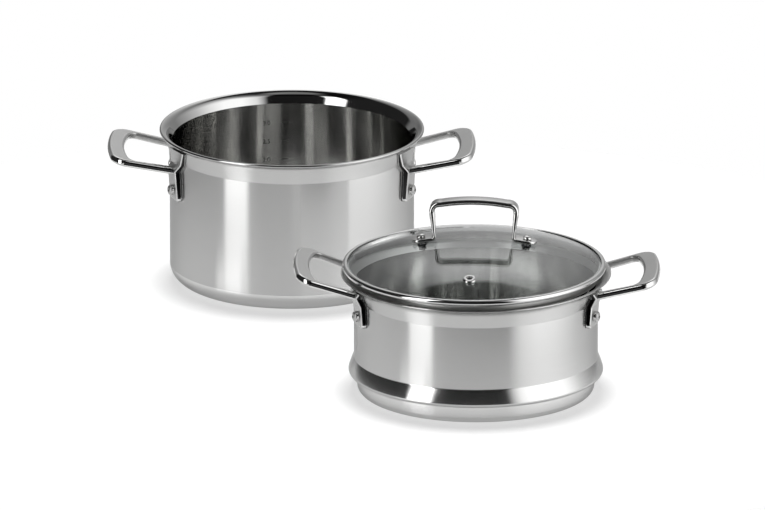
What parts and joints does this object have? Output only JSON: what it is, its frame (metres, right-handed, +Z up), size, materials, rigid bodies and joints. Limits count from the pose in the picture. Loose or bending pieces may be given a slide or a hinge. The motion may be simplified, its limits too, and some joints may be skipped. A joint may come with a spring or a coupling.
{
  "type": "pot with steamer insert",
  "caption": "Two-handled steel cooking pot with a flared rim, standing beside its two-handled perforated steamer insert with a domed glass lid.",
  "frame": {"origin": "centre of the pot's flat base, on the surface that it stands on", "axes": "+Z up, +X to the right along the handles of the pot and of the steamer, +Y away from the front"},
  "size_m": [0.4555, 0.5289, 0.1626],
  "materials": {
    "brushed_steel": "brushed wall with a polished band under the rim",
    "satin_steel": "satin with polished edges",
    "polished_steel": "mirror polished",
    "lid_glass": "clear tempered glass",
    "black_rubber": "matt silicone"
  },
  "bodies": {
    "pot": {"pot_body": "brushed_steel", "pot_handle_left": "satin_steel", "pot_handle_right": "satin_steel", "pot_rivet_left_front": "polished_steel", "pot_rivet_left_rear": "polished_steel", "pot_rivet_right_front": "polished_steel", "pot_rivet_right_rear": "polished_steel"},
    "steamer": {"steamer_body": "brushed_steel", "steamer_handle_left": "satin_steel", "steamer_handle_right": "satin_steel", "steamer_rivet_left_front": "polished_steel", "steamer_rivet_left_rear": "polished_steel", "steamer_rivet_right_front": "polished_steel", "steamer_rivet_right_rear": "polished_steel"},
    "lid": {"lid_glass": "lid_glass", "lid_rim_band": "polished_steel", "lid_handle": "polished_steel", "lid_screw_left": "polished_steel", "lid_screw_right": "polished_steel", "lid_upper_gasket_left": "black_rubber", "lid_upper_gasket_right": "black_rubber", "lid_lower_gasket_left": "black_rubber", "lid_lower_gasket_right": "black_rubber", "lid_nut_left": "polished_steel", "lid_nut_right": "polished_steel", "lid_vent_eyelet": "polished_steel"}
  },
  "joints": [
    {"name": "steamer_lift", "type": "slide", "parent": "pot", "child": "steamer", "axis": [0, 0, 1], "range_m": [0, 0.15]},
    {"name": "lid_lift", "type": "slide", "parent": "steamer", "child": "lid", "axis": [0, 0, 1], "range_m": [0, 0.12]}
  ]
}
